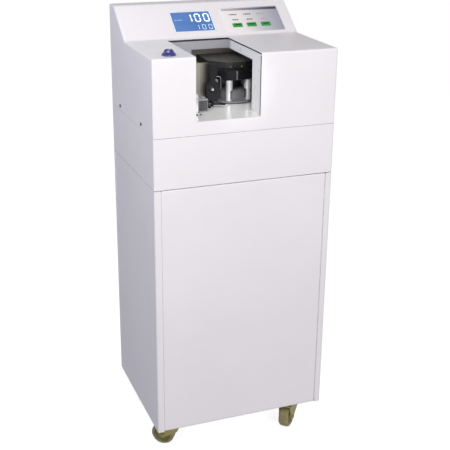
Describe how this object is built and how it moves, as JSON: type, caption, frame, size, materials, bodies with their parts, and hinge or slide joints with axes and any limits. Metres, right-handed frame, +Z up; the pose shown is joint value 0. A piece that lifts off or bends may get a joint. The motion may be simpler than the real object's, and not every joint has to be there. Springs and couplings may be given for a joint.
{
  "type": "banknote counting machine",
  "caption": "Floor-standing vacuum banknote counter: white steel cabinet on castors, open counting bay with a rotating suction-spindle turret, sloping console with display and keys.",
  "frame": {"origin": "on the floor, under the middle of the cabinet", "axes": "+Z up, the counting bay and door face -Y, +X to the right seen from the front"},
  "size_m": [0.45, 0.36, 1.09],
  "materials": {
    "white_paint": "fine-textured off-white powder coat",
    "black_casting": "black painted casting",
    "dark_paint": "dark grey satin paint",
    "bright_steel": "turned and brushed",
    "gloss_table": "high-gloss pale enamel",
    "yellow_zinc": "yellow passivated zinc",
    "amber_wheel": "amber tread on a moulded hub",
    "blue_plastic": "glossy navy blue",
    "green_plastic": "green keys",
    "lcd": "blue display with white numerals",
    "silver_overlay": "silver membrane overlay",
    "black_rubber": "black hose and belt",
    "black_plastic": "moulded black",
    "circuit_board": "green solder mask",
    "pump_alloy": "grey painted casting",
    "alloy": "machined"
  },
  "bodies": {
    "cabinet": {"base_pan": "white_paint", "side_panel_left": "white_paint", "side_panel_right": "white_paint", "rear_panel_lower": "white_paint", "shelf": "dark_paint", "door_pin_top": "bright_steel", "door_pin_bottom": "bright_steel", "vacuum_pump": "pump_alloy", "vacuum_hose": "black_rubber", "castor_plate_front_left": "yellow_zinc", "castor_plate_front_right": "yellow_zinc", "castor_plate_rear_left": "yellow_zinc", "castor_plate_rear_right": "yellow_zinc", "middle_cover": "white_paint", "top_cover": "white_paint", "rear_panel_upper": "white_paint", "bay_liner": "white_paint", "mechanism_frame": "dark_paint", "counting_table": "gloss_table", "rear_partition": "dark_paint", "sun_gear": "bright_steel", "bearing_housing": "alloy", "drive_motor": "pump_alloy", "drive_belt": "black_rubber", "head_bracket": "black_casting", "clamp_backplate": "bright_steel", "clamp_solenoid": "black_casting", "display_module": "lcd", "keypad_panel": "silver_overlay", "control_board": "circuit_board", "power_inlet": "black_plastic"},
    "turret": {"turret_shaft": "bright_steel", "turret_base": "dark_paint", "turret_head": "black_casting", "turret_pulley": "alloy"},
    "spindle_1": {"suction_spindle_1": "bright_steel"},
    "spindle_2": {"suction_spindle_2": "bright_steel"},
    "spindle_3": {"suction_spindle_3": "bright_steel"},
    "spindle_4": {"suction_spindle_4": "bright_steel"},
    "spindle_5": {"suction_spindle_5": "bright_steel"},
    "motor_drive": {"motor_pulley": "alloy"},
    "clamp_jaw": {"clamp_block": "dark_paint", "jaw_plate": "bright_steel", "clamp_rod": "bright_steel"},
    "arm": {"pusher_arm": "black_casting"},
    "lever": {"guide_lever": "black_casting"},
    "door": {"front_door": "white_paint"},
    "knob": {"regulator_knob": "blue_plastic"},
    "rocker": {"power_switch": "black_plastic"},
    "key_1": {"button_1": "green_plastic"},
    "key_2": {"button_2": "green_plastic"},
    "key_3": {"button_3": "green_plastic"},
    "castor_front_left": {"castor_fork_front_left": "yellow_zinc"},
    "wheel_front_left": {"castor_wheel_front_left": "amber_wheel"},
    "castor_front_right": {"castor_fork_front_right": "yellow_zinc"},
    "wheel_front_right": {"castor_wheel_front_right": "amber_wheel"},
    "castor_rear_left": {"castor_fork_rear_left": "yellow_zinc"},
    "wheel_rear_left": {"castor_wheel_rear_left": "amber_wheel"},
    "castor_rear_right": {"castor_fork_rear_right": "yellow_zinc"},
    "wheel_rear_right": {"castor_wheel_rear_right": "amber_wheel"}
  },
  "joints": [
    {"name": "door_hinge", "type": "hinge", "parent": "cabinet", "child": "door", "pos_m": [-0.2013, -0.1738, 0.4], "axis": [0, 0, -1], "range_deg": [0, 95]},
    {"name": "turret_spin", "type": "hinge", "parent": "cabinet", "child": "turret", "pos_m": [0.033, 0.001, 0.88], "axis": [0, 0, 1], "continuous": true},
    {"name": "spindle_1_spin", "type": "hinge", "parent": "turret", "child": "spindle_1", "pos_m": [0.01137, -0.035, 0.9], "axis": [0, 0, 1], "continuous": true},
    {"name": "spindle_2_spin", "type": "hinge", "parent": "turret", "child": "spindle_2", "pos_m": [0.06055, -0.0307, 0.9], "axis": [0, 0, 1], "continuous": true},
    {"name": "spindle_3_spin", "type": "hinge", "parent": "turret", "child": "spindle_3", "pos_m": [0.07166, 0.01741, 0.9], "axis": [0, 0, 1], "continuous": true},
    {"name": "spindle_4_spin", "type": "hinge", "parent": "turret", "child": "spindle_4", "pos_m": [0.02934, 0.04284, 0.9], "axis": [0, 0, 1], "continuous": true},
    {"name": "spindle_5_spin", "type": "hinge", "parent": "turret", "child": "spindle_5", "pos_m": [-0.00792, 0.01045, 0.9], "axis": [0, 0, 1], "continuous": true},
    {"name": "motor_spin", "type": "hinge", "parent": "cabinet", "child": "motor_drive", "pos_m": [0.15, 0.02, 0.78], "axis": [0, 0, 1], "continuous": true},
    {"name": "clamp_slide", "type": "slide", "parent": "cabinet", "child": "clamp_jaw", "axis": [0, 1, 0], "range_m": [0, 0.022]},
    {"name": "arm_swing", "type": "hinge", "parent": "cabinet", "child": "arm", "pos_m": [-0.04, -0.05, 0.9], "axis": [0, 0, 1], "range_deg": [-15, 12]},
    {"name": "lever_swing", "type": "hinge", "parent": "cabinet", "child": "lever", "pos_m": [-0.051, -0.066, 0.88], "axis": [0, 0, 1], "range_deg": [-25, 25]},
    {"name": "knob_turn", "type": "hinge", "parent": "cabinet", "child": "knob", "pos_m": [-0.175, -0.144, 1.019], "axis": [0, 0, 1], "range_deg": [-135, 135]},
    {"name": "switch_rock", "type": "hinge", "parent": "cabinet", "child": "rocker", "pos_m": [0.177, 0.172, 0.77], "axis": [1, 0, 0], "range_deg": [0, 8]},
    {"name": "key_1_press", "type": "slide", "parent": "cabinet", "child": "key_1", "axis": [0, 0.6027, -0.798], "range_m": [0, 0.0015], "stiffness_N_per_m": 400},
    {"name": "key_2_press", "type": "slide", "parent": "cabinet", "child": "key_2", "axis": [0, 0.6027, -0.798], "range_m": [0, 0.0015], "stiffness_N_per_m": 400},
    {"name": "key_3_press", "type": "slide", "parent": "cabinet", "child": "key_3", "axis": [0, 0.6027, -0.798], "range_m": [0, 0.0015], "stiffness_N_per_m": 400},
    {"name": "castor_front_left_swivel", "type": "hinge", "parent": "cabinet", "child": "castor_front_left", "pos_m": [-0.165, -0.128, 0.065], "axis": [0, 0, 1], "continuous": true},
    {"name": "wheel_front_left_spin", "type": "hinge", "parent": "castor_front_left", "child": "wheel_front_left", "pos_m": [-0.18957, -0.11079, 0.03], "axis": [-0.5736, -0.8192, 0], "continuous": true},
    {"name": "castor_front_right_swivel", "type": "hinge", "parent": "cabinet", "child": "castor_front_right", "pos_m": [0.165, -0.128, 0.065], "axis": [0, 0, 1], "continuous": true},
    {"name": "wheel_front_right_spin", "type": "hinge", "parent": "castor_front_right", "child": "wheel_front_right", "pos_m": [0.14379, -0.14921, 0.03], "axis": [0.7071, -0.7071, 0], "continuous": true},
    {"name": "castor_rear_left_swivel", "type": "hinge", "parent": "cabinet", "child": "castor_rear_left", "pos_m": [-0.165, 0.128, 0.065], "axis": [0, 0, 1], "continuous": true},
    {"name": "wheel_rear_left_spin", "type": "hinge", "parent": "castor_rear_left", "child": "wheel_rear_left", "pos_m": [-0.17526, 0.09981, 0.03], "axis": [0.9397, -0.342, 0], "continuous": true},
    {"name": "castor_rear_right_swivel", "type": "hinge", "parent": "cabinet", "child": "castor_rear_right", "pos_m": [0.165, 0.128, 0.065], "axis": [0, 0, 1], "continuous": true},
    {"name": "wheel_rear_right_spin", "type": "hinge", "parent": "castor_rear_right", "child": "wheel_rear_right", "pos_m": [0.13681, 0.11774, 0.03], "axis": [0.342, -0.9397, 0], "continuous": true}
  ],
  "couplings": [
    {"joint": "spindle_1_spin", "follows": "turret_spin", "ratio": 3.6667},
    {"joint": "spindle_2_spin", "follows": "turret_spin", "ratio": 3.6667},
    {"joint": "spindle_3_spin", "follows": "turret_spin", "ratio": 3.6667},
    {"joint": "spindle_4_spin", "follows": "turret_spin", "ratio": 3.6667},
    {"joint": "spindle_5_spin", "follows": "turret_spin", "ratio": 3.6667},
    {"joint": "motor_spin", "follows": "turret_spin", "ratio": 2}
  ]
}
